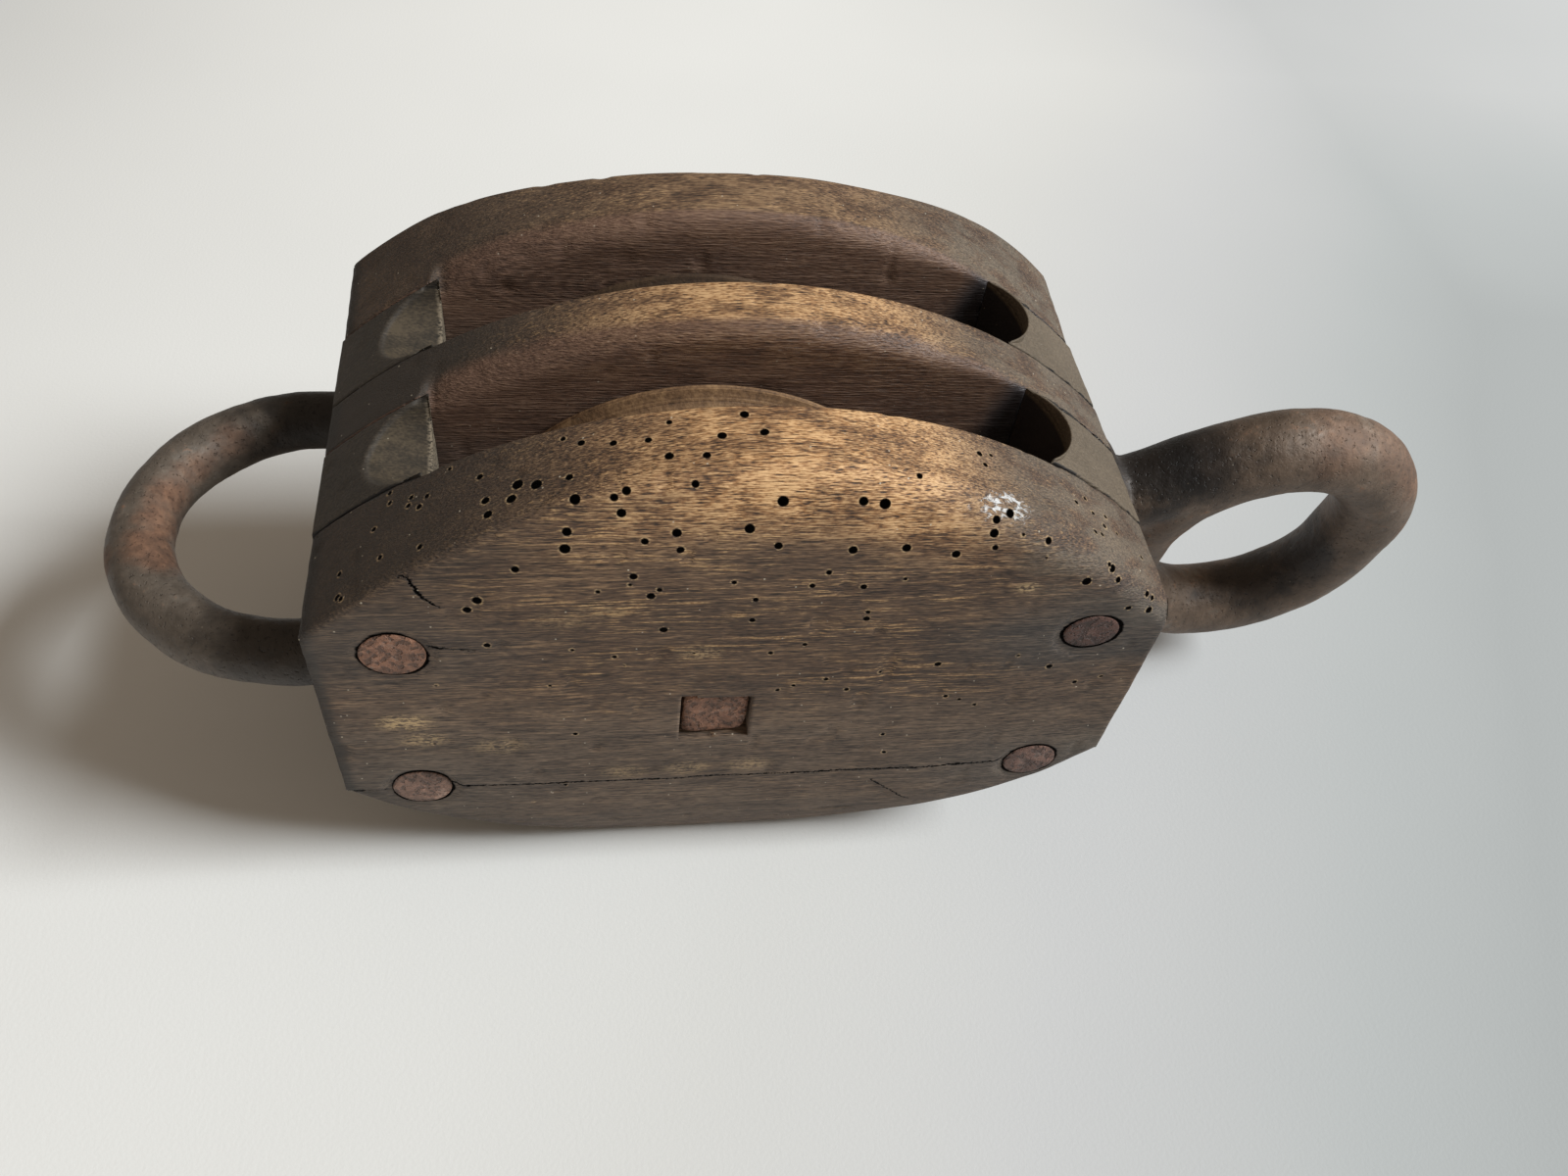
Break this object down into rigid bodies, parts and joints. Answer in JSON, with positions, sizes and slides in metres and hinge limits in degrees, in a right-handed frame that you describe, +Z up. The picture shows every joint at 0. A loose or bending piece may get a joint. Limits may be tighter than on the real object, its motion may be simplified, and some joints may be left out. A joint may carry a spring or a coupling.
{
  "type": "pulley block",
  "caption": "Old double wooden pulley block with internal iron strap, iron eye at the head, iron becket at the tail and free-turning sheaves.",
  "frame": {"origin": "halfway between becket tip and eye tip, in the middle of the partition, level with the lowest point of the shell's lower curved edge", "axes": "+X along the block from becket to eye, +Y along the pin away from its square end, +Z up out of the rope slots"},
  "size_m": [0.3657, 0.128, 0.148],
  "materials": {
    "shell_wood": "weathered",
    "partition_wood": "weathered",
    "spacer_wood": "weathered",
    "grey_spacer_wood": "weathered",
    "sheave_wood": "oiled",
    "coak_brass": "tarnished",
    "pin_iron": "rusted",
    "rivet_iron": "rusted",
    "becket_iron": "forged",
    "eye_iron": "forged"
  },
  "bodies": {
    "shell": {"front_cheek": "shell_wood", "rear_cheek": "shell_wood", "partition": "partition_wood", "tail_spacer_front": "spacer_wood", "tail_spacer_rear": "spacer_wood", "head_spacer_front": "grey_spacer_wood", "head_spacer_rear": "grey_spacer_wood", "centre_pin": "pin_iron", "tail_rivet_upper": "rivet_iron", "tail_rivet_lower": "rivet_iron", "head_rivet_upper": "rivet_iron", "head_rivet_lower": "rivet_iron", "becket_strap": "becket_iron", "head_eye": "eye_iron"},
    "front_sheave": {"front_sheave": "sheave_wood", "front_coak": "coak_brass", "front_coak_rivets": "coak_brass"},
    "rear_sheave": {"rear_sheave": "sheave_wood", "rear_coak": "coak_brass", "rear_coak_rivets": "coak_brass"}
  },
  "joints": [
    {"name": "front_sheave_spin", "type": "hinge", "parent": "shell", "child": "front_sheave", "pos_m": [-0.03062, -0.0215, 0.071], "axis": [0, 1, 0], "continuous": true},
    {"name": "rear_sheave_spin", "type": "hinge", "parent": "shell", "child": "rear_sheave", "pos_m": [-0.03062, 0.0215, 0.071], "axis": [0, 1, 0], "continuous": true}
  ]
}
